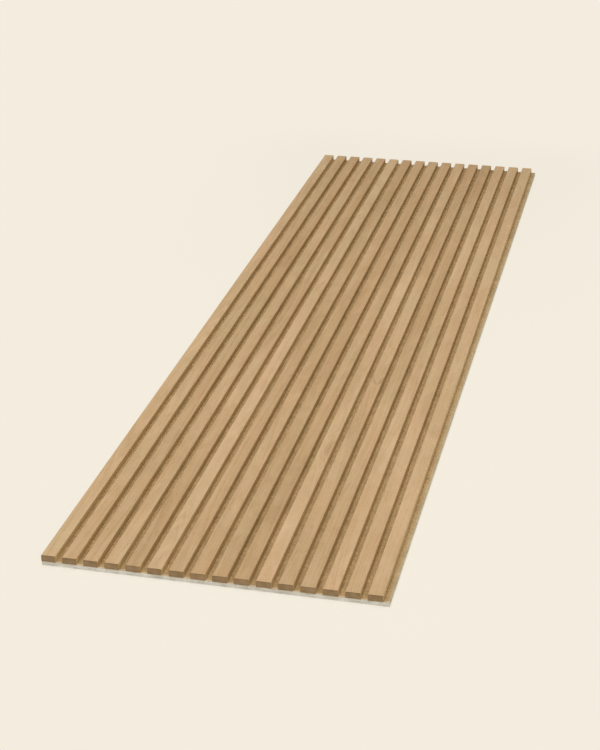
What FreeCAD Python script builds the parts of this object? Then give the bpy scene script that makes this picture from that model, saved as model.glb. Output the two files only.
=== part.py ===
import FreeCAD, Part
import os

# Acoustic slat wall panel, lying on its back.
# X runs across the slats, Y along them and Z out of the wall.
# The origin is the middle of the back face, so the panel rests on Z = 0.

# Driving dimensions, in millimetres.
PANEL_LENGTH = 2400.0

SLAT_COUNT = 16
SLAT_WIDTH = 27.0
SLAT_GAP = 13.0

# Each slat is a fibreboard bar with veneer folded over its face and sides.
CORE_THICKNESS = 12.0
CORE_CHAMFER = 0.6
VENEER_THICKNESS = 0.6

# The felt that carries the slats is a pale board with a thin coloured facing.
BACKING_THICKNESS = 8.0
FACING_THICKNESS = 1.0

# Panels are hung this far apart.
PANEL_CLEARANCE = 1.0

# Staples hold each slat from behind. A crown lies across its slat, sunk below the back face,
# and the legs stop short of the core's upper face by the cover.
STAPLE_ROWS = 4
STAPLE_END_MARGIN = 75.0
STAPLE_CROWN = 12.8
STAPLE_WIRE_THICKNESS = 0.65
STAPLE_WIRE_WIDTH = 0.95
STAPLE_POINT = 0.8
STAPLE_SINK = 0.4
STAPLE_COVER = 4.6

# Worked out from the driving dimensions.
SLAT_PITCH = SLAT_WIDTH + SLAT_GAP
CORE_WIDTH = SLAT_WIDTH - 2.0 * VENEER_THICKNESS
# The felt's bare lip and the clearance beside it make up one gap,
# so that the slats of a row of panels are evenly spaced across the joints.
PANEL_WIDTH = SLAT_COUNT * SLAT_PITCH - PANEL_CLEARANCE
LEFT_EDGE = -PANEL_WIDTH / 2.0
NEAR_END = -PANEL_LENGTH / 2.0
FACING_Z = BACKING_THICKNESS
SLAT_Z = FACING_Z + FACING_THICKNESS
CORE_TOP_Z = SLAT_Z + CORE_THICKNESS
STAPLE_CROWN_TOP = STAPLE_SINK + STAPLE_WIRE_THICKNESS
STAPLE_TIP_Z = CORE_TOP_Z - STAPLE_COVER

ALONG_PANEL = FreeCAD.Vector(0.0, PANEL_LENGTH, 0.0)
ROUND_CORNERS = 0
OUT_FOLDER = "parts"


def slat_centres():
    """The middle of each slat across the panel, from the flush edge to the bare lip."""
    first = LEFT_EDGE + SLAT_WIDTH / 2.0
    return [first + index * SLAT_PITCH for index in range(SLAT_COUNT)]


def staple_rows():
    """Where the rows of staples lie along the panel, evenly spaced between its two ends."""
    first = NEAR_END + STAPLE_END_MARGIN
    step = (PANEL_LENGTH - 2.0 * STAPLE_END_MARGIN) / (STAPLE_ROWS - 1)
    return [first + index * step for index in range(STAPLE_ROWS)]


def core_outline(centre_x):
    """A core's outline at the near end, from foot to foot over its face.

    Its upper arrises are broken, so that the veneer folds over them without cracking.
    """
    side = CORE_WIDTH / 2.0
    outline = [
        (-side, SLAT_Z),
        (-side, CORE_TOP_Z - CORE_CHAMFER),
        (-side + CORE_CHAMFER, CORE_TOP_Z),
        (side - CORE_CHAMFER, CORE_TOP_Z),
        (side, CORE_TOP_Z - CORE_CHAMFER),
        (side, SLAT_Z),
    ]
    return Part.makePolygon([FreeCAD.Vector(centre_x + x, NEAR_END, z) for x, z in outline])


def slat_core(centre_x, slots):
    """A slat's fibreboard core, bare at both ends, with the holes that its staples' legs make."""
    outline = core_outline(centre_x)
    feet = [outline.Vertexes[-1].Point, outline.Vertexes[0].Point]
    section = Part.Face(Part.Wire(outline.Edges + Part.makePolygon(feet).Edges))
    return section.extrude(ALONG_PANEL).cut(slots)


def slat_veneer(centre_x):
    """The veneer of a slat, as thick at its folds as over the face and down both sides."""
    core = core_outline(centre_x)
    section = core.makeOffset2D(VENEER_THICKNESS, ROUND_CORNERS, fill=True, openResult=True)
    return section.extrude(ALONG_PANEL)


def felt_layer(base_z, thickness, slots):
    """A sheet of felt as wide and long as the panel, with the staples' slots in it."""
    corner = FreeCAD.Vector(LEFT_EDGE, NEAR_END, base_z)
    return Part.makeBox(PANEL_WIDTH, PANEL_LENGTH, thickness, corner).cut(slots)


def staple_shape(base_z):
    """One staple at the origin, open upwards, with its legs' points cut on the inside.

    base_z is the underside of its crown, or the back face of the felt for the slot that it sits in.
    """
    outer = STAPLE_CROWN / 2.0
    inner = outer - STAPLE_WIRE_THICKNESS
    outline = [
        (-outer, base_z),
        (outer, base_z),
        (outer, STAPLE_TIP_Z),
        (inner, STAPLE_TIP_Z - STAPLE_POINT),
        (inner, STAPLE_CROWN_TOP),
        (-inner, STAPLE_CROWN_TOP),
        (-inner, STAPLE_TIP_Z - STAPLE_POINT),
        (-outer, STAPLE_TIP_Z),
    ]
    corners = [FreeCAD.Vector(x, -STAPLE_WIRE_WIDTH / 2.0, z) for x, z in outline]
    face = Part.Face(Part.makePolygon(corners + corners[:1]))
    return face.extrude(FreeCAD.Vector(0.0, STAPLE_WIRE_WIDTH, 0.0))


def in_rows(shape, centres_x):
    """Copies of a staple or its slot, one under each given slat in every row."""
    copies = []
    for centre_x in centres_x:
        for row_y in staple_rows():
            copies.append(shape.translated(FreeCAD.Vector(centre_x, row_y, 0.0)))
    return copies


def export(name, shape):
    shape.exportStep(os.path.join(OUT_FOLDER, name + ".step"))


def main():
    os.makedirs(OUT_FOLDER, exist_ok=True)
    centres = slat_centres()
    staple = staple_shape(STAPLE_SINK)
    slot = staple_shape(0.0)
    all_slots = in_rows(slot, centres)

    export("felt_backing", felt_layer(0.0, BACKING_THICKNESS, all_slots))
    export("felt_facing", felt_layer(FACING_Z, FACING_THICKNESS, all_slots))
    for number, centre_x in enumerate(centres, start=1):
        export(f"slat_core_{number:02d}", slat_core(centre_x, in_rows(slot, [centre_x])))
        export(f"slat_veneer_{number:02d}", slat_veneer(centre_x))
    export("staples", Part.makeCompound(in_rows(staple, centres)))


main()
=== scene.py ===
"""Acoustic slat wall panel, dressed and lit: oak slats, fibreboard ends, two felts and staples."""
import math
from types import SimpleNamespace

import bpy
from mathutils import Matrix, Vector, noise


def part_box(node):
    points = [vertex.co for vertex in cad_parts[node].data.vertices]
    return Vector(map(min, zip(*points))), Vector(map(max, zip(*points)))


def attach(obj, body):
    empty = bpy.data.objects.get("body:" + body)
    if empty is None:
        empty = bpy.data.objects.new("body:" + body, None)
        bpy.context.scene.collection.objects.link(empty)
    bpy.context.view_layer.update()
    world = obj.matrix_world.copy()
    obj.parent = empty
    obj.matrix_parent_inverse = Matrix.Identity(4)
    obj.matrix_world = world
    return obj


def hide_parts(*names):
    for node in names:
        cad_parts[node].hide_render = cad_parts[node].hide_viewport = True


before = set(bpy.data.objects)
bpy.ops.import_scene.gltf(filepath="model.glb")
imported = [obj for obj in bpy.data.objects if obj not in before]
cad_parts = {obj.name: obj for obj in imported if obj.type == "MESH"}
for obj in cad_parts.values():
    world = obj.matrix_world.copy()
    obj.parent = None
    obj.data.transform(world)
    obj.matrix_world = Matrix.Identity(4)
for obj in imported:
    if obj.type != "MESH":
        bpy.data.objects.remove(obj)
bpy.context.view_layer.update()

# Places and sizes in metres, as the solids have them.
LEFT_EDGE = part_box("felt_backing")[0][0]
NEAR_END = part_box("felt_backing")[0][1]
FACING_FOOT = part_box("felt_facing")[0][2]
SLAT_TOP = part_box("slat_veneer_01")[1][2]
FELT_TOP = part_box("felt_facing")[1][2]
CORE_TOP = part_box("slat_core_01")[1][2]
HALF_WIDTH = -LEFT_EDGE
HALF_LENGTH = -NEAR_END

VENEERS = sorted(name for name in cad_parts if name.startswith("slat_veneer"))
CORES = sorted(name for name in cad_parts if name.startswith("slat_core"))
SLAT_COUNT = len(VENEERS)
SLAT_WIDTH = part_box(VENEERS[0])[1][0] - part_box(VENEERS[0])[0][0]
SLAT_PITCH = (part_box(VENEERS[-1])[0][0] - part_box(VENEERS[0])[0][0]) / (SLAT_COUNT - 1)
SLAT_CENTRES = [LEFT_EDGE + SLAT_WIDTH / 2 + index * SLAT_PITCH for index in range(SLAT_COUNT)]
GROOVE_CENTRES = [centre + SLAT_PITCH / 2 for centre in SLAT_CENTRES]
GROOVE_HALF = (SLAT_PITCH - SLAT_WIDTH) / 2

# The staples lie in evenly spaced rows, and a crown reaches half its length to either side.
STAPLE_ROW_COUNT = 4
STAPLE_WIRE_WIDTH = 0.00095
STAPLE_HALF = SLAT_CENTRES[0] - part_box("staples")[0][0]
FIRST_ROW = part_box("staples")[0][1] + STAPLE_WIRE_WIDTH / 2
ROW_STEP = -2 * FIRST_ROW / (STAPLE_ROW_COUNT - 1)
STAPLE_ROWS = [FIRST_ROW + index * ROW_STEP for index in range(STAPLE_ROW_COUNT)]

# The felts' meshes: the widest step between lines, and where lines lie beside a slat's middle and beside
# a row of staples. Shares of the round place them over an edge, and shares of half a groove across it.
# The board's layers begin at a foot above its round, and none is thicker than one layer.
# A stretch that is longer than a whole number of steps by no more than the slack isn't split again.
FELT_STEP = 0.010
STEP_SLACK = 0.001
BESIDE_SLAT = (0.0030, 0.0062, 0.0076, 0.0105)
BESIDE_ROW = (0.0012, 0.0025, 0.0045, 0.0080)
ROUND_SHARES = (0.0, 0.3, 1.0)
GROOVE_SHARES = (0.35, 0.70, 1.0)
BOARD_LAYER_FOOT = 0.0025
BOARD_LAYER = 0.0019

# The felts' cut edges: their rounds, how far the knife cut unevenly, and the shares of the slow
# and the quick unevenness with their waves to the metre. A shorter length than tiny counts as none.
BOARD_ROUND = 0.0009
FACE_ROUND = 0.0006
CUT_UNEVEN = 0.00022
CUT_WAVES = ((0.6, (40.0, 40.0, 90.0)), (0.4, (190.0, 190.0, 260.0)))
TINY = 1e-9

# The felts' flat sides: the depth and the reach of the two hollows around a staple, how uneven the back is,
# and how far and how unevenly the facing swells. Each kind of unevenness is one plane of the noise.
DIMPLES = ((0.00055, 0.0026), (0.00015, 0.0070))
BACK_UNEVEN = 0.00006
BACK_WAVES = 60.0
BACK_PLANE = 5.0
SWELL = 0.00022
SWELL_UNEVEN = 0.7
SWELL_WAVES = 70.0
SWELL_PLANE = 9.0

# Which slats come out paler, and which boards darker.
SLAT_SEED = 5032.3
BOARD_SEED = 11.3

# Each slat's grain starts up to so many metres further along, and lies so far from the next slat's.
GRAIN_SHIFT = 37.0
LAYER_STEP = 1.7

# How the knife went through the log: how far to either side of its heart, how far that wanders,
# how deep below the heart at the least, and how much deeper at the most.
HEART_SPREAD = 0.085
HEART_WANDER = 0.024
HEART_DEPTH = 0.012
HEART_DEEPER = 0.060

# Rings, and groups of good and poor years, counted from the heart outwards.
RINGS_PER_METRE = 330.0
SEASONS_PER_METRE = 150.0

# Knots in the veneer: the slat, counted from nought, the middle along the panel and across the slat,
# and how dark the middle and the near edge are. The rings bend round a knot by so many metres.
KNOTS = (
    dict(slat=10.0, along=-0.680, across=0.0050,
         half_length=0.052, half_width=0.0100, middle=0.170, edge=0.05),
    dict(slat=11.0, along=-0.305, across=0.0015,
         half_length=0.056, half_width=0.0125, middle=0.035, edge=0.18),
)
KNOT_BEND = 0.005

# Where the veneer's look changes, from and to: down its sides, and at its arrises across and down.
# The drop down the sides is where their painted light comes in.
SIDES_DROP = (0.0004, 0.0030)
ARRIS_ACROSS = (0.0122, 0.0131)
ARRIS_DROP = (0.0022, 0.0010)

# Where the felts' look changes: how wide and how ragged the painted-highlight rims along the sides and the
# ends are, how far in a trimmed side reaches, and where the cut ends get painted shade, across from a
# slat's middle and up.
SIDE_RIM = 0.0075
END_RIM = 0.0060
RIM_EDGE = 0.0004
RIM_RAGGED = 0.008
TRIM_IN = (0.0014, 0.0006)
UNDER_SLAT_SHADE_ACROSS = (0.017, 0.010)
UNDER_SLAT_SHADE_UP = (0.0004, 0.0022)

# The floor: how far it goes, how far below the panel it lies, how far shadows reach on it,
# and how near a surface has to be to look through it.
FLOOR_REACH = 60.0
FLOOR_Z = -0.0004
SHADOW_REACH = 0.45
TOUCHING = 0.002


def linear(red, green, blue):
    """A colour given in the usual 0 to 255 steps, as the shader's linear values."""
    def one(step):
        share = step / 255.0
        return share / 12.92 if share <= 0.04045 else ((share + 0.055) / 1.055) ** 2.4
    return (one(red), one(green), one(blue), 1.0)


OAK_PINKISH = linear(199, 164, 123)
OAK_OLIVE = linear(196, 166, 125)
# Painted light: the warm tint that the shaded slat sides are given.
OAK_SIDES_PAINTED_LIGHT = linear(208, 179, 114)
OAK_END_GRAIN = linear(150, 116, 78)
OAK_RUBBED = linear(208, 178, 138)
BOARD_BROWN = linear(146, 120, 84)
BOARD_PALE = linear(154, 128, 96)
ZINC_DULL = linear(168, 170, 171)
ZINC_BRIGHT = linear(205, 206, 204)
CREAM = linear(244, 237, 223)
WHITE = (1.0, 1.0, 1.0, 1.0)


class Tree:
    """The nodes of a material or a world. Inputs may be numbers, colours or other nodes' outputs."""

    def __init__(self, owner):
        owner.use_nodes = True
        self.owner = owner
        self.tree = owner.node_tree
        self.tree.nodes.clear()

    def add(self, kind, inputs=None, **settings):
        made = self.tree.nodes.new(kind)
        for key, value in settings.items():
            setattr(made, key, value)
        for key, value in (inputs or {}).items():
            self.plug(made.inputs[key], value)
        return made

    def plug(self, socket, value):
        if isinstance(value, bpy.types.NodeSocket):
            self.tree.links.new(value, socket)
        else:
            socket.default_value = value

    def math(self, operation, *values):
        return self.add("ShaderNodeMath", dict(enumerate(values)), operation=operation).outputs[0]

    def hypot(self, first, second):
        """The length of a line from its two parts."""
        squares = [self.math("POWER", part, 2.0) for part in (first, second)]
        return self.math("SQRT", self.math("ADD", *squares))

    def plus(self, value, *marks):
        """A value with so much of each mark added to it."""
        for mark, amount in marks:
            value = self.math("MULTIPLY_ADD", mark, amount, value)
        return value

    def sway(self, value, *marks, middle=0.5):
        """A value moved up and down by so much of each mark, about the marks' middle."""
        swings = [(self.math("SUBTRACT", mark, middle), amount) for mark, amount in marks]
        return self.plus(value, *swings)

    def span(self, value, low, high, to_low=0.0, to_high=1.0):
        """A value moved from one range to another, smoothly and without leaving it."""
        made = self.add("ShaderNodeMapRange", dict(enumerate((value, low, high, to_low, to_high))))
        made.interpolation_type = "SMOOTHSTEP"
        return made.outputs[0]

    def blend(self, share, first, second, kind="MIX"):
        """Two colours blended by a share from 0 to 1."""
        made = self.add("ShaderNodeMix", data_type="RGBA", blend_type=kind)
        for index, value in ((0, share), (6, first), (7, second)):
            self.plug(made.inputs[index], value)
        return made.outputs[2]

    def toned(self, colour, tone, green=1.0, blue=1.0):
        """A colour made darker or paler. With powers over one, dark places are warmer too."""
        tones = self.vector(tone, self.math("POWER", tone, green), self.math("POWER", tone, blue))
        return self.blend(1.0, colour, tones, "MULTIPLY")

    def vector(self, x, y, z):
        return self.add("ShaderNodeCombineXYZ", {0: x, 1: y, 2: z}).outputs[0]

    def parts(self, vector):
        return tuple(self.add("ShaderNodeSeparateXYZ", {0: vector}).outputs)

    def place(self):
        """The place on the panel, in the panel's own frame, as three parts."""
        return self.parts(self.add("ShaderNodeTexCoord").outputs["Object"])

    def facing(self, kind):
        """The three parts of the surface's normal."""
        return self.parts(self.add("ShaderNodeNewGeometry").outputs[kind])

    def noise(self, place, waves, detail, roughness=0.5, distortion=0.0):
        """Noise on a place's three parts, with so many waves to the metre each way."""
        counts = waves if isinstance(waves, tuple) else (waves,) * 3
        scaled = [self.math("MULTIPLY", part, count) for part, count in zip(place, counts)]
        inputs = {"Vector": self.vector(*scaled), "Scale": 1.0, "Detail": detail,
                  "Roughness": roughness, "Distortion": distortion}
        return self.add("ShaderNodeTexNoise", inputs).outputs["Fac"]

    def chance(self, number, seed):
        """A whole number's own random lots, as a value and as a colour."""
        key = self.math("ADD", number, seed)
        return self.add("ShaderNodeTexWhiteNoise", {"W": key}, noise_dimensions="1D").outputs

    def bump(self, height, strength, distance):
        inputs = {"Height": height, "Strength": strength, "Distance": distance}
        return self.add("ShaderNodeBump", inputs).outputs[0]

    def mix(self, share, first, second):
        """Two shaders mixed by a share from 0 to 1."""
        return self.add("ShaderNodeMixShader", {0: share, 1: first, 2: second}).outputs[0]

    def seen(self, ray):
        """One for rays that show a thing to the camera, straight or by a mirror or a glass."""
        by_way = self.math("MAXIMUM", ray["Is Glossy Ray"], ray["Is Transmission Ray"])
        return self.math("MAXIMUM", ray["Is Camera Ray"], by_way)

    def finish(self, **inputs):
        """Ends a material in one Principled shader with these inputs."""
        named = {key.replace("_", " "): value for key, value in inputs.items()}
        shader = self.add("ShaderNodeBsdfPrincipled", named)
        self.add("ShaderNodeOutputMaterial", {"Surface": shader.outputs[0]})
        return self.owner


def material(name):
    """A new material's nodes, none as yet."""
    return Tree(bpy.data.materials.new(name))


def slat_number(t, x):
    """Which slat a place belongs to, counted from nought. It changes in the middle of a groove."""
    from_first = t.math("SUBTRACT", x, SLAT_CENTRES[0])
    return t.math("ROUND", t.math("DIVIDE", from_first, SLAT_PITCH))


def across_slat(t, x):
    """How far across a place is from the middle of its slat."""
    from_first = t.math("SUBTRACT", x, SLAT_CENTRES[0])
    return t.math("SUBTRACT", from_first, t.math("MULTIPLY", slat_number(t, x), SLAT_PITCH))


def oak_sheet(t):
    """A slat's veneer unfolded, so that its face and its two sides lie in one plane."""
    x, y, z = t.place()
    number = slat_number(t, x)
    across = across_slat(t, x)
    drop = t.math("MAXIMUM", t.math("SUBTRACT", SLAT_TOP, z), 0.0)
    flat = t.math("MULTIPLY_ADD", t.math("SIGN", across), drop, across)
    lots = t.add("ShaderNodeSeparateColor", {0: t.chance(number, SLAT_SEED)["Color"]}).outputs
    along = t.plus(y, (lots[0], GRAIN_SHIFT))
    layer = t.math("MULTIPLY", number, LAYER_STEP)
    return SimpleNamespace(number=number, y=y, across=across, drop=drop, flat=flat,
                           along=along, layer=layer, heart_lot=lots[1], tone_lot=lots[2])


def grain(t, sheet, across, along, detail, roughness=0.5, distortion=0.0, shift=0.0):
    """Noise on a sheet, with so many waves to the metre across and along it.

    Patterns with different shifts have nothing to do with each other.
    """
    layer = t.math("ADD", sheet.layer, shift)
    return t.noise((sheet.flat, sheet.along, layer), (across, along, 1.0), detail, roughness, distortion)


def oak_radius(t, sheet):
    """How far from the log's heart each place was when the knife went beside it or off to one side."""
    wander = grain(t, sheet, 4.0, 1.6, detail=2.0)
    reach = t.sway(sheet.flat, (sheet.heart_lot, HEART_SPREAD), (wander, HEART_WANDER))
    deeper = t.noise((sheet.layer, sheet.along, 0.0), (1.0, 0.9, 1.0), detail=1.0, roughness=0.4)
    return t.hypot(reach, t.plus(HEART_DEPTH, (deeper, HEART_DEEPER)))


def oak_knots(t, sheet, radius):
    """The rings bent round the knots, and how dark the knots are in the middle and along the near edge."""
    knots = 0.0
    ragged = t.noise((sheet.flat, sheet.y, sheet.layer), (110.0, 26.0, 1.0), detail=2.0)
    for knot in KNOTS:
        here = t.math("COMPARE", sheet.number, knot["slat"], 0.5)
        over = t.math("DIVIDE", t.math("SUBTRACT", sheet.flat, knot["across"]), knot["half_width"])
        beyond = t.math("DIVIDE", t.math("SUBTRACT", sheet.y, knot["along"]), knot["half_length"])
        # Counted in knots: nought in the middle of this one, and one at its ragged edge.
        away = t.sway(t.hypot(over, beyond), (ragged, 0.6))
        bend = t.math("MULTIPLY", here, t.span(away, 2.2, 0.0))
        radius = t.plus(radius, (bend, KNOT_BEND))
        line = t.span(t.math("ABSOLUTE", t.math("SUBTRACT", away, 1.0)), 0.24, 0.0)
        near_line = t.math("MULTIPLY", line, t.span(beyond, 0.2, -0.6))
        dark = t.plus(0.0, (t.span(away, 1.1, 0.2), knot["middle"]), (near_line, knot["edge"]))
        knots = t.plus(knots, (here, dark))
    return radius, knots


def oak_years(t, sheet, radius):
    """Groups of good and poor years, and the porous early wood of each year's ring."""
    ripple = grain(t, sheet, 260.0, 5.0, detail=2.0, roughness=0.6)
    seasons = t.plus(0.0, (radius, SEASONS_PER_METRE), (ripple, 0.25), (sheet.layer, 9.0))
    bands = t.add("ShaderNodeTexNoise", {"W": seasons, "Scale": 1.0, "Detail": 2.0, "Roughness": 0.55},
                  noise_dimensions="1D").outputs["Fac"]
    rings = t.plus(0.0, (radius, RINGS_PER_METRE), (bands, 3.0), (ripple, 0.55))
    within = t.math("FRACT", rings)
    early = t.math("MULTIPLY", t.span(within, 0.0, 0.10), t.span(within, 0.85, 0.20))
    return bands, early


def oak_colour(t, sheet, fibre):
    """The wood's own colours, before its tone, with painted light on the slats' sides."""
    # The hue wanders between a pinkish and an olive brown.
    hue = grain(t, sheet, 15.0, 4.0, detail=2.0, shift=200.0)
    wood = t.blend(t.span(hue, 0.32, 0.68), OAK_PINKISH, OAK_OLIVE)
    # The sides are painted a deeper yellow than the face. This painted light stands in for the warm bounce
    # light in the shaded grooves.
    wood = t.blend(t.span(sheet.drop, *SIDES_DROP, to_high=0.5), wood, OAK_SIDES_PAINTED_LIGHT)
    # End grain at the sawn ends, and arrises that handling has rubbed a little paler.
    sawn = t.span(t.math("ABSOLUTE", t.facing("Normal")[1]), 0.6, 0.9)
    wood = t.blend(sawn, wood, OAK_END_GRAIN)
    beside = t.span(t.math("ABSOLUTE", sheet.across), *ARRIS_ACROSS)
    arris = t.math("MULTIPLY", beside, t.span(sheet.drop, *ARRIS_DROP))
    rubbed = t.math("MULTIPLY", arris, t.span(fibre, 0.45, 0.65, 0.10, 0.45))
    return t.blend(rubbed, wood, OAK_RUBBED)


def oak_veneer():
    """Oak veneer: growth rings as the slicing knife met them, knots, pores, rays and fine fibre.

    Every slat has its own.
    """
    t = material("oak_veneer")
    sheet = oak_sheet(t)
    radius, knots = oak_knots(t, sheet, oak_radius(t, sheet))
    bands, early = oak_years(t, sheet, radius)

    # Fine marks along the grain. Most pores are in the early wood.
    fibre = grain(t, sheet, 2600.0, 34.0, detail=3.0, roughness=0.6)
    pore_field = grain(t, sheet, 3400.0, 75.0, detail=1.0)
    pores = t.math("MULTIPLY", t.span(pore_field, 0.56, 0.68), t.plus(0.25, (early, 0.75)))
    rays = t.span(grain(t, sheet, 1900.0, 95.0, detail=0.0, shift=50.0), 0.70, 0.80)
    streak = grain(t, sheet, 170.0, 1.7, detail=3.0, roughness=0.6, shift=20.0)
    # Clouds in the colour: long slow ones, and the mottling that curly fibre leaves.
    cloud = grain(t, sheet, 12.0, 1.6, detail=2.0, shift=80.0)
    mottle = grain(t, sheet, 42.0, 13.0, detail=3.0, roughness=0.55, distortion=0.9, shift=140.0)

    # Tone: the slat's own, then the marks on it. A few slats are paler than the others.
    tone = t.plus(0.940, (t.math("POWER", sheet.tone_lot, 2.2), 0.165))
    tone = t.sway(tone, (cloud, 0.40), (mottle, 0.26), (bands, 0.10), (streak, 0.04), (fibre, 0.065))
    tone = t.sway(tone, (early, -0.046), middle=0.35)
    tone = t.plus(tone, (pores, -0.25), (rays, 0.05), (knots, -1.0))
    colour = t.toned(oak_colour(t, sheet, fibre), tone, green=1.2, blue=1.6)

    rough = t.plus(0.60, (fibre, 0.12), (pores, 0.20))
    height = t.plus(0.0, (fibre, 0.35), (pores, -1.0), (early, -0.15))
    return t.finish(Base_Color=colour, Roughness=rough, Specular_IOR_Level=0.025,
                    Normal=t.bump(height, strength=0.35, distance=0.00012))


def fibreboard():
    """Raw sawn fibreboard: pressed fibres, denser and darker towards both faces, with faint saw marks."""
    t = material("fibreboard")
    place = t.place()
    x, _, z = place
    clump = t.noise(place, 420.0, detail=3.0, roughness=0.6)
    hair = t.noise(place, (900.0, 900.0, 3200.0), detail=3.0, roughness=0.65, distortion=0.6)
    patch = t.noise(place, 75.0, detail=1.0)
    saw_slope = t.plus(0.0, (x, 950.0), (z, 260.0))
    saw = t.noise((saw_slope, 0.0, z), (1.0, 1.0, 40.0), detail=2.0)
    middle = (FELT_TOP + CORE_TOP) / 2
    half = (CORE_TOP - FELT_TOP) / 2
    from_middle = t.math("ABSOLUTE", t.math("SUBTRACT", z, middle))
    dense = t.span(t.math("DIVIDE", from_middle, half), 0.45, 1.0)
    tone = t.plus(0.95, (t.chance(slat_number(t, x), BOARD_SEED)["Value"], 0.10))
    tone = t.sway(tone, (clump, 0.30), (hair, 0.34), (saw, 0.12), (patch, 0.22))
    tone = t.plus(tone, (dense, -0.14))
    board = t.blend(t.span(patch, 0.35, 0.65), BOARD_BROWN, BOARD_PALE)
    height = t.plus(hair, (saw, 0.6))
    return t.finish(Base_Color=t.toned(board, tone), Roughness=0.86, Specular_IOR_Level=0.18,
                    Normal=t.bump(height, strength=0.5, distance=0.0003))


def felt(name, ground, pale, dark, patches, highlight_rims=None, trimmed=None, shade=0.0):
    """Needled felt: matted fibres lying every way, some of them paler and some darker.

    Where it has rims, it is painted paler in those colours along the panel's sides and ends: painted
    highlight.
    Where its long sides are trimmed, the knife has drawn fibres of that colour down over them.
    The shade is how much darker its cut ends are painted under the slats: painted shade.
    """
    t = material(name)
    place = t.place()
    x, y, z = place
    # Tufts as the needles left them, drawn out one way and the other.
    tuft_a = t.noise(place, (420.0, 130.0, 300.0), detail=3.0, roughness=0.65, distortion=0.8)
    tuft_b = t.noise(place, (130.0, 420.0, 330.0), detail=3.0, roughness=0.65, distortion=0.8)
    tufts = t.math("MULTIPLY", t.math("ADD", tuft_a, tuft_b), 0.5)
    colour = t.blend(t.span(tufts, 0.38, 0.62), dark, ground)
    # Single fibres: thin lines that wander in four directions, each turned by so many degrees.
    lines = []
    directions = ((20.0, pale, 0.55), (67.0, dark, 0.45), (112.0, pale, 0.50), (158.0, dark, 0.40))
    for turn, tint, amount in directions:
        cosine = math.cos(math.radians(turn))
        sine = math.sin(math.radians(turn))
        over = t.plus(0.0, (x, cosine), (y, sine))
        along = t.plus(0.0, (y, cosine), (x, -sine))
        field = t.noise((over, along, z), (900.0, 110.0, 900.0), detail=1.0, distortion=0.7)
        line = t.span(t.math("ABSOLUTE", t.math("SUBTRACT", field, 0.5)), 0.050, 0.012)
        colour = t.blend(t.math("MULTIPLY", line, amount), colour, tint)
        lines.append(line)

    to_side = t.math("SUBTRACT", HALF_WIDTH, t.math("ABSOLUTE", x))
    to_end = t.math("SUBTRACT", HALF_LENGTH, t.math("ABSOLUTE", y))
    layers = t.noise(place, (45.0, 45.0, 1400.0), detail=3.0, roughness=0.6, distortion=0.5)
    # Painted highlight: the felt made paler along its open sides and ends.
    if highlight_rims is not None:
        edges = ((to_side, SIDE_RIM, 0.50), (to_end, END_RIM, 0.85))
        for (to_edge, wide, share), rim in zip(edges, highlight_rims):
            ragged = t.sway(to_edge, (tufts, RIM_RAGGED))
            colour = t.blend(t.span(ragged, wide, RIM_EDGE, to_high=share), colour, rim)
    if trimmed is not None:
        drawn = t.math("MULTIPLY", t.span(to_side, *TRIM_IN), t.span(layers, 0.35, 0.65, 0.25, 0.60))
        colour = t.blend(drawn, colour, trimmed)

    fine = t.noise(place, 1500.0, detail=3.0, roughness=0.7, distortion=1.2)
    patch = t.noise(place, 26.0, detail=2.0)
    tone = t.sway(1.0, (fine, 0.26), (patch, patches))
    # A knife leaves the cut faces more uneven than the flat ones, and shows the layers of the fibres.
    cut = t.span(t.math("ABSOLUTE", t.facing("True Normal")[2]), 0.7, 0.3)
    torn = t.noise(place, (30.0, 30.0, 110.0), detail=3.0, roughness=0.55, distortion=0.4)
    strands = t.noise(place, (240.0, 240.0, 3000.0), detail=2.0, roughness=0.6, distortion=0.6)
    tone = t.plus(tone, (cut, t.sway(0.0, (torn, 0.80), (layers, 0.45), (strands, 0.34))))
    if shade:
        # Painted shade: the cut ends darker under the slats and lighter below the grooves.
        beside = t.span(t.math("ABSOLUTE", across_slat(t, x)), *UNDER_SLAT_SHADE_ACROSS)
        tone = t.plus(tone, (t.math("MULTIPLY", beside, t.span(z, *UNDER_SLAT_SHADE_UP)), -shade))
    height = t.plus(tufts, (fine, 0.6), (t.math("MULTIPLY", cut, strands), 0.9))
    height = t.plus(height, *[(line, 0.35) for line in lines])
    return t.finish(Base_Color=t.toned(colour, tone, green=1.08, blue=1.25), Roughness=0.95,
                    Specular_IOR_Level=0.10, Sheen_Weight=0.15, Sheen_Roughness=0.5,
                    Normal=t.bump(height, strength=0.6, distance=0.0006))


def staple_wire():
    """Galvanised wire, dulled in patches and drawn through a die."""
    t = material("staple_wire")
    place = t.place()
    patch = t.noise(place, 900.0, detail=3.0, roughness=0.6)
    drawn = t.noise(place, (500.0, 6000.0, 500.0), detail=2.0)
    colour = t.blend(t.span(patch, 0.35, 0.65), ZINC_DULL, ZINC_BRIGHT)
    return t.finish(Base_Color=colour, Metallic=1.0, Roughness=t.plus(0.24, (drawn, 0.25)),
                    Normal=t.bump(drawn, strength=0.2, distance=0.0001))


def both_ways(steps):
    """Nought, and these steps to either side of it, in order."""
    return [-step for step in reversed(steps)] + [0.0] + list(steps)


def between(stops, step):
    """The stops in order, with more numbers between any two that lie further apart than a step."""
    lines = []
    for low, high in zip(stops, stops[1:]):
        count = max(1, math.ceil((high - low) / step - STEP_SLACK))
        lines += [low + (high - low) * index / count for index in range(count)]
    return lines + [stops[-1]]


def edged(half, inside, rounding):
    """The lines inside a felt, with lines over the round of its edge before and after them."""
    edges = [share * rounding for share in ROUND_SHARES]
    return [-half + edge for edge in edges] + inside + [half - edge for edge in reversed(edges)]


def nearest(lines, value):
    return min(lines, key=lambda line: abs(value - line))


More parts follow.
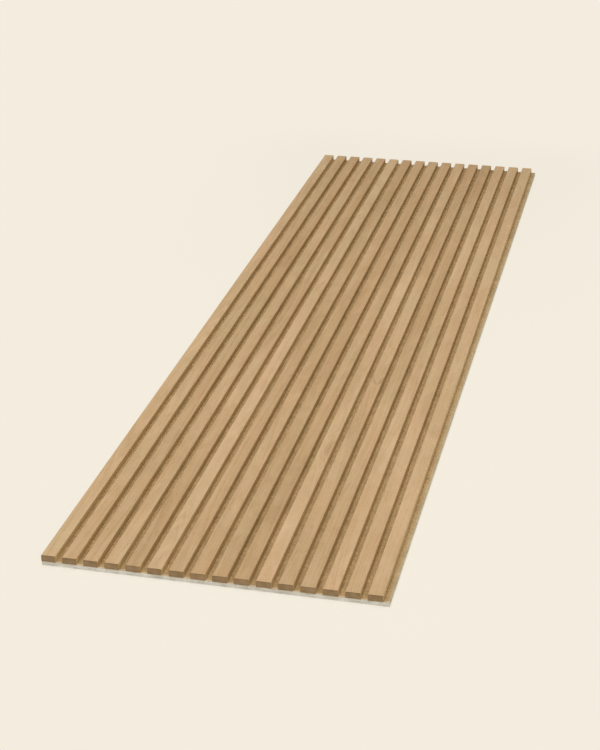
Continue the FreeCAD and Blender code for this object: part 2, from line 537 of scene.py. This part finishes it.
def slab(name, xs, ys, zs, place):
    """A closed slab on a lattice of lines, with each of the lattice's corners where place() puts it."""
    points = {}
    last_x = len(xs) - 1
    last_y = len(ys) - 1
    last_z = len(zs) - 1
    for k, z in enumerate(zs):
        for j, y in enumerate(ys):
            for i, x in enumerate(xs):
                if k in (0, last_z) or j in (0, last_y) or i in (0, last_x):
                    points[i, j, k] = place(x, y, z)
    index = {key: number for number, key in enumerate(points)}
    faces = []
    for j in range(last_y):
        for i in range(last_x):
            ring = ((i, j), (i + 1, j), (i + 1, j + 1), (i, j + 1))
            faces.append([index[a, b, last_z] for a, b in ring])
            faces.append([index[a, b, 0] for a, b in reversed(ring)])
    round_about = ([(i, 0) for i in range(last_x)] + [(last_x, j) for j in range(last_y)]
                   + [(i, last_y) for i in range(last_x, 0, -1)] + [(0, j) for j in range(last_y, 0, -1)])
    for k in range(last_z):
        for (a, b), (c, d) in zip(round_about, round_about[1:] + round_about[:1]):
            faces.append([index[a, b, k], index[c, d, k], index[c, d, k + 1], index[a, b, k + 1]])
    mesh = bpy.data.meshes.new(name)
    mesh.from_pydata(list(points.values()), [], faces)
    mesh.polygons.foreach_set("use_smooth", [True] * len(mesh.polygons))
    piece = bpy.data.objects.new(name, mesh)
    bpy.context.scene.collection.objects.link(piece)
    return piece


def cut_felt(x, y, z, low, high, rounding):
    """A point of a felt's surface after the knife: arrises drawn in to a round, sides a little uneven."""
    inner = Vector((max(-HALF_WIDTH + rounding, min(HALF_WIDTH - rounding, x)),
                    max(-HALF_LENGTH + rounding, min(HALF_LENGTH - rounding, y)),
                    max(low, min(high, z))))
    out = Vector((x, y, z)) - inner
    if out.length < TINY:
        return Vector((x, y, z))
    moved = inner + out.normalized() * rounding
    # Only the sides are uneven, and only inwards.
    flat = Vector((out.x, out.y, 0.0))
    if flat.length > TINY:
        uneven = 1.0
        for share, (across, along, up) in CUT_WAVES:
            uneven += share * noise.noise(Vector((x * across, y * along, z * up)))
        moved -= flat.normalized() * (CUT_UNEVEN * uneven)
    return moved


def felt_board():
    """The pale felt, with a dimple where each staple draws it in."""
    beside_slats = [centre + offset for centre in SLAT_CENTRES for offset in both_ways(BESIDE_SLAT)]
    beside_rows = [row + offset for row in STAPLE_ROWS for offset in both_ways(BESIDE_ROW)]
    xs = edged(HALF_WIDTH, beside_slats, BOARD_ROUND)
    ys = between(edged(HALF_LENGTH, beside_rows, BOARD_ROUND), FELT_STEP)
    zs = [share * BOARD_ROUND for share in ROUND_SHARES]
    zs += between([BOARD_LAYER_FOOT, FACING_FOOT], BOARD_LAYER)

    def place(x, y, z):
        moved = cut_felt(x, y, z, BOARD_ROUND, FACING_FOOT, BOARD_ROUND)
        if z == 0.0:
            beyond_crown = max(abs(x - nearest(SLAT_CENTRES, x)) - STAPLE_HALF, 0.0)
            away = math.hypot(beyond_crown, y - nearest(STAPLE_ROWS, y))
            moved.z += sum(depth * math.exp(-(away / reach) ** 2) for depth, reach in DIMPLES)
            uneven = noise.noise(Vector((x * BACK_WAVES, y * BACK_WAVES, BACK_PLANE)))
            moved.z += BACK_UNEVEN * (1.0 + uneven)
        return moved

    piece = slab("felt_board", xs, ys, zs, place)
    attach(piece, "root")
    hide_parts("felt_backing")
    return piece


def felt_face():
    """The coloured felt on the board, which swells a little between the slats that press on it."""
    offsets = both_ways([share * GROOVE_HALF for share in GROOVE_SHARES])
    in_grooves = [groove + offset for groove in GROOVE_CENTRES for offset in offsets]
    inside = [line for line in in_grooves if line < HALF_WIDTH - 2 * FACE_ROUND]
    xs = edged(HALF_WIDTH, inside, FACE_ROUND)
    ys = between(edged(HALF_LENGTH, [], FACE_ROUND), FELT_STEP)
    zs = [FACING_FOOT] + [FELT_TOP - share * FACE_ROUND for share in reversed(ROUND_SHARES)]

    def place(x, y, z):
        moved = cut_felt(x, y, z, FACING_FOOT, FELT_TOP - FACE_ROUND, FACE_ROUND)
        if z == FELT_TOP:
            from_groove = x - nearest(GROOVE_CENTRES, x)
            share = max(0.0, 1.0 - (from_groove / GROOVE_HALF) ** 2)
            uneven = noise.noise(Vector((x * SWELL_WAVES, y * SWELL_WAVES, SWELL_PLANE)))
            moved.z += SWELL * share * (1.0 + SWELL_UNEVEN * uneven)
        return moved

    piece = slab("felt_face", xs, ys, zs, place)
    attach(piece, "root")
    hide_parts("felt_facing")
    return piece


def dress():
    """Makes the two felts' pieces, and gives every piece its material."""
    board_felt = felt("pale_felt", ground=linear(240, 235, 222), pale=linear(246, 243, 235),
                      dark=linear(222, 216, 202), patches=0.13, trimmed=linear(229, 206, 160), shade=0.08)
    face_felt = felt("tan_felt", ground=linear(202, 168, 114), pale=linear(224, 195, 147),
                     dark=linear(151, 119, 73), patches=0.55,
                     highlight_rims=(linear(204, 188, 153), linear(222, 206, 176)))
    felt_board().data.materials.append(board_felt)
    felt_face().data.materials.append(face_felt)
    wear = dict.fromkeys(VENEERS, oak_veneer())
    wear.update(dict.fromkeys(CORES, fibreboard()))
    wear.update({"felt_backing": board_felt, "felt_facing": face_felt, "staples": staple_wire()})
    for name, look in wear.items():
        for slot in bpy.data.objects[name].material_slots:
            slot.link = "OBJECT"
            slot.material = look


def lay_floor():
    """A cream floor, seen in its plain colour away from the panel, where no shadow falls."""
    t = material("floor_cream")
    ray = t.add("ShaderNodeLightPath").outputs
    matt = t.add("ShaderNodeBsdfDiffuse", {"Color": CREAM}).outputs[0]
    glow = t.add("ShaderNodeEmission", {"Color": CREAM, "Strength": 1.0}).outputs[0]
    x, y, _ = t.place()
    beside = t.math("MAXIMUM", t.math("SUBTRACT", t.math("ABSOLUTE", x), HALF_WIDTH), 0.0)
    beyond = t.math("MAXIMUM", t.math("SUBTRACT", t.math("ABSOLUTE", y), HALF_LENGTH), 0.0)
    plain = t.span(t.hypot(beside, beyond), 0.0, SHADOW_REACH, 0.8, 1.0)
    solid = t.mix(t.math("MULTIPLY", t.seen(ray), plain), matt, glow)
    # From underneath, and right against the panel, it lets light through to show the back.
    behind = t.add("ShaderNodeNewGeometry").outputs["Backfacing"]
    touching = t.math("LESS_THAN", ray["Ray Length"], TOUCHING)
    clear = t.add("ShaderNodeBsdfTransparent").outputs[0]
    whole = t.mix(t.math("MAXIMUM", behind, touching), solid, clear)
    t.add("ShaderNodeOutputMaterial", {"Surface": whole})

    mesh = bpy.data.meshes.new("floor")
    signs = ((-1, -1), (1, -1), (1, 1), (-1, 1))
    corners = [(side * FLOOR_REACH, end * FLOOR_REACH, FLOOR_Z) for side, end in signs]
    mesh.from_pydata(corners, [], [(0, 1, 2, 3)])
    mesh.materials.append(t.owner)
    floor = bpy.data.objects.new("floor", mesh)
    bpy.context.scene.collection.objects.link(floor)


def sky():
    """An even white sky, which the camera sees in the floor's colour."""
    t = Tree(bpy.data.worlds.new("sky"))
    light = t.add("ShaderNodeBackground", {"Color": WHITE, "Strength": 0.50}).outputs[0]
    backdrop = t.add("ShaderNodeBackground", {"Color": CREAM, "Strength": 1.0}).outputs[0]
    ray = t.add("ShaderNodeLightPath").outputs
    t.add("ShaderNodeOutputWorld", {"Surface": t.mix(t.seen(ray), light, backdrop)})
    bpy.context.scene.world = t.owner


def lamp(name, size, energy, place, target):
    """A square soft lamp that shines from a place towards a target."""
    light = bpy.data.lights.new(name, "AREA")
    light.shape = "SQUARE"
    light.size = size
    light.energy = energy
    box = bpy.data.objects.new(name, light)
    box.location = place
    box.rotation_euler = (Vector(target) - box.location).to_track_quat("-Z", "Y").to_euler()
    bpy.context.scene.collection.objects.link(box)


def stage_and_light():
    """The floor, the sky and three lamps."""
    lay_floor()
    sky()
    # A softbox overhead, a little to the left, and a weak one from the front right that opens up the shade.
    lamp("softbox", size=1.65, energy=73.0, place=(-0.20, -0.62, 3.8), target=(0.0, -0.62, 0.0))
    lamp("fill", size=1.6, energy=30.0, place=(1.5, -4.5, 1.7), target=(0.0, -1.0, 0.0))
    # A third shines up through the floor, on the back alone.
    lamp("under", size=3.0, energy=110.0, place=(-0.8, -0.9, -4.0), target=(0.0, 0.0, 0.0))


def camera():
    """The photograph's point of view."""
    data = bpy.data.cameras.new("view")
    data.lens = 81.887
    data.sensor_width = 36.0
    data.clip_end = 200.0
    eye = bpy.data.objects.new("view", data)
    eye.location = (0.7420, -3.6711, 1.6175)
    eye.rotation_euler = [math.radians(angle) for angle in (64.8967, 0.2817, 13.0777)]
    bpy.context.scene.collection.objects.link(eye)
    bpy.context.scene.camera = eye


dress()
stage_and_light()
camera()
bpy.context.scene.view_settings.view_transform = "Standard"
